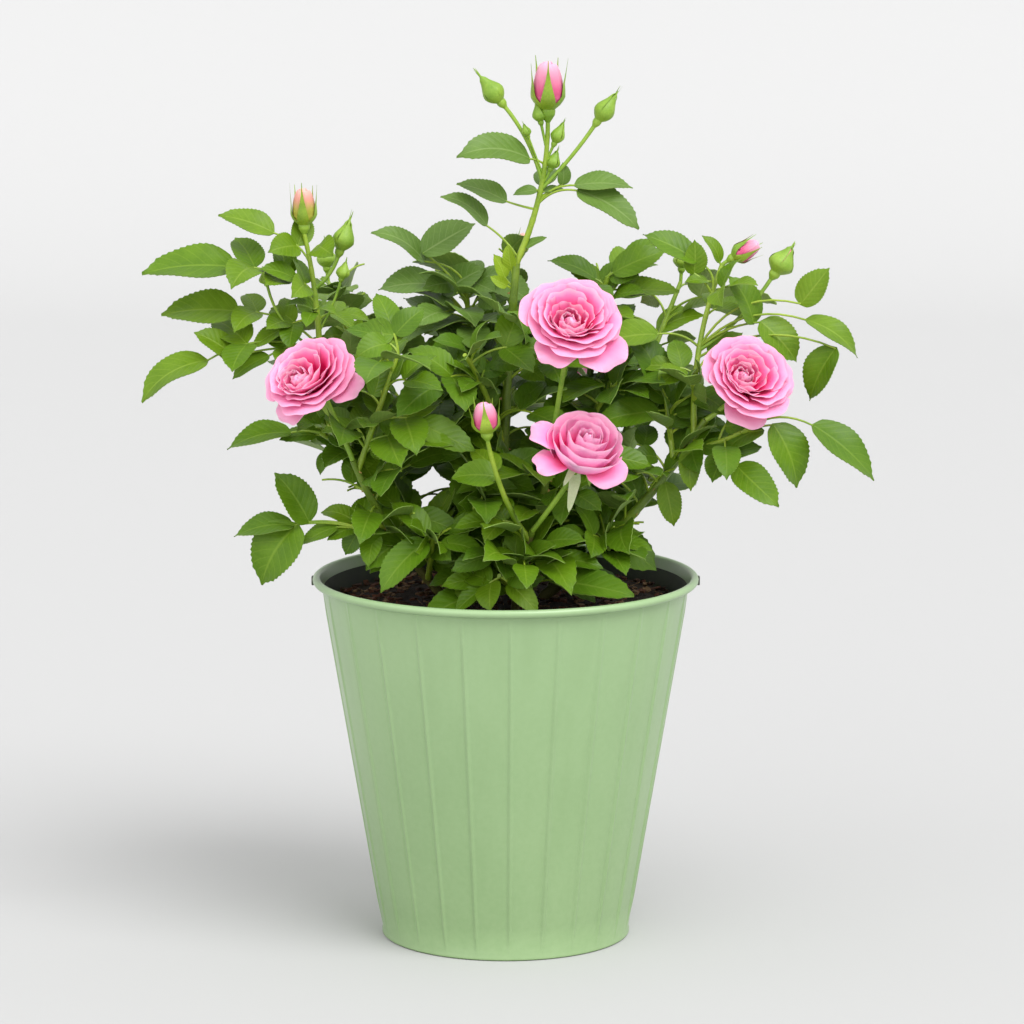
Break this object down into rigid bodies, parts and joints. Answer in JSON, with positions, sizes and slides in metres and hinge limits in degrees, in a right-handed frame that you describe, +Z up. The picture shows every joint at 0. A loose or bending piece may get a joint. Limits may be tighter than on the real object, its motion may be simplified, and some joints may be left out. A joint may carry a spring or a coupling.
{
  "type": "potted patio rose",
  "caption": "Potted patio rose bush with leafy shoots, open pink blooms and buds, growing from bark soil in a ribbed green metal pot with a rolled rim.",
  "frame": {"origin": "centre of the pot's flat underside, on the ground", "axes": "+Z up along the pot's axis, +X to the right and +Y to the back as seen from the plant's best side"},
  "size_m": [0.4679, 0.313, 0.571],
  "materials": {
    "pot_paint": "satin",
    "soil": "matte",
    "cane": "satin",
    "bloom": "matte",
    "foliage": "satin"
  },
  "bodies": {
    "root": {"pot": "pot_paint", "soil": "soil", "cane_centre": "cane", "cane_left_low": "cane", "cane_left_tall": "cane", "cane_centre_bloom": "cane", "cane_front": "cane", "cane_right": "cane", "cane_right_rear": "cane", "cane_left_rear": "cane", "cane_back_left": "cane", "cane_back": "cane", "cane_back_right": "cane", "bloom_left": "bloom", "bloom_centre": "bloom", "bloom_front": "bloom", "bloom_right": "bloom", "bloom_back": "bloom", "bloom_back_left": "bloom", "shoot_top": "foliage", "shoot_left_tall": "foliage", "shoot_left_side": "foliage", "shoot_left_low": "foliage", "shoot_front_low": "foliage", "shoot_left_body": "foliage", "shoot_left_centre": "foliage", "shoot_body_left": "foliage", "shoot_body_front": "foliage", "shoot_body_low": "foliage", "shoot_body_right": "foliage", "shoot_right_centre": "foliage", "shoot_front_bud": "foliage", "shoot_front_foot": "foliage", "shoot_right_tall": "foliage", "shoot_right_mid": "foliage", "shoot_right_low": "foliage", "shoot_right_foot": "foliage", "shoot_back_left": "foliage", "shoot_back": "foliage", "shoot_back_right": "foliage", "shoot_back_low_left": "foliage", "shoot_back_low": "foliage", "shoot_back_low_right": "foliage"}
  },
  "joints": []
}
